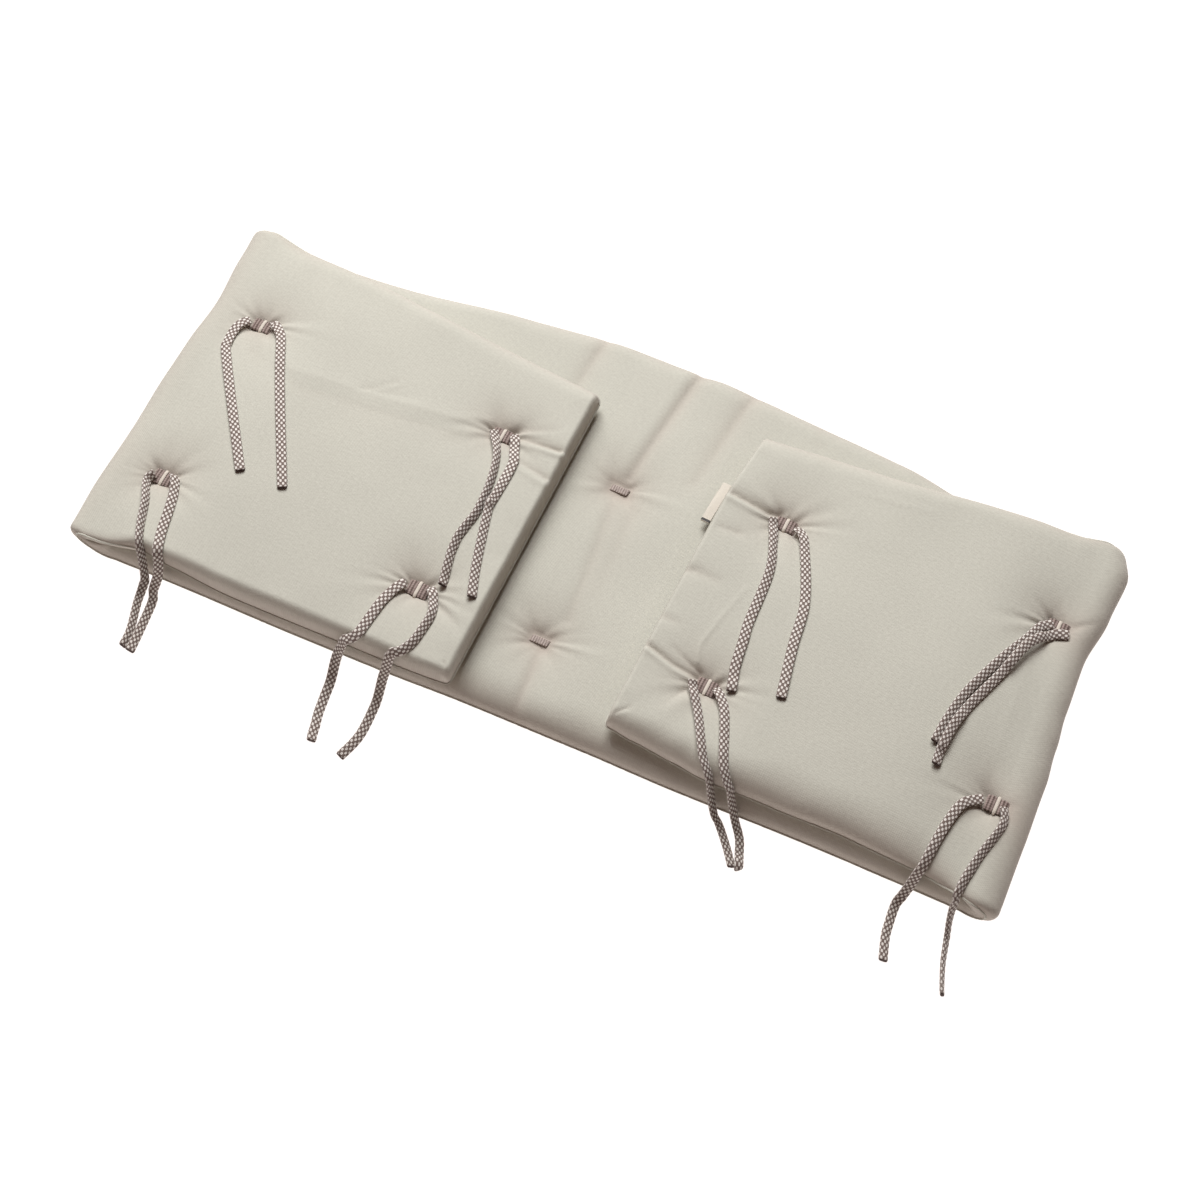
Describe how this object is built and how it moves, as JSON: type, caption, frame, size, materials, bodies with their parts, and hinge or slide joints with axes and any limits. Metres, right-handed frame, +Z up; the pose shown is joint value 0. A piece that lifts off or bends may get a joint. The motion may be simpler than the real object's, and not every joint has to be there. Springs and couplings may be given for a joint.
{
  "type": "crib bumper",
  "caption": "Long filled cotton cot bumper with both ends folded in flat on its middle, braided tie cords on woven tapes and tufted centre.",
  "frame": {"origin": "on the surface that the folded pad lies on, under the middle of its box, the cords left out", "axes": "+X along the folded pad, +Y from its straight edge to its arched edge, +Z up"},
  "size_m": [0.8678, 0.4736, 0.0661],
  "materials": {
    "cotton": "matt woven cotton with a small pique texture",
    "tape": "ribbed grosgrain tape",
    "thread": "satin bar of sewing thread",
    "braid": "flat cotton braid with light dots",
    "label": "folded woven label, plain"
  },
  "bodies": {
    "root": {"bumper_pad": "cotton", "tie_tape_left_outer_near": "tape", "tie_tape_left_outer_far": "tape", "tie_tape_left_inner_near": "tape", "tie_tape_left_inner_far": "tape", "tie_tape_right_inner_near": "tape", "tie_tape_right_inner_far": "tape", "tie_tape_right_outer_near": "tape", "tie_tape_right_outer_far": "tape", "tie_bar_left_outer_near": "thread", "tie_bar_left_outer_far": "thread", "tie_bar_left_inner_near": "thread", "tie_bar_left_inner_far": "thread", "tie_bar_right_inner_near": "thread", "tie_bar_right_inner_far": "thread", "tie_bar_right_outer_near": "thread", "tie_bar_right_outer_far": "thread", "tuft_tape_near": "tape", "tuft_tape_far": "tape", "side_label": "label", "cord_left_outer_near_a": "braid", "cord_left_outer_near_b": "braid", "cord_left_outer_far_a": "braid", "cord_left_outer_far_b": "braid", "cord_left_inner_near_a": "braid", "cord_left_inner_near_b": "braid", "cord_left_inner_far_a": "braid", "cord_left_inner_far_b": "braid", "cord_right_inner_near_a": "braid", "cord_right_inner_near_b": "braid", "cord_right_inner_far_a": "braid", "cord_right_inner_far_b": "braid", "cord_right_outer_near_a": "braid", "cord_right_outer_near_b": "braid", "cord_right_outer_far_a": "braid", "cord_right_outer_far_b": "braid"}
  },
  "joints": []
}
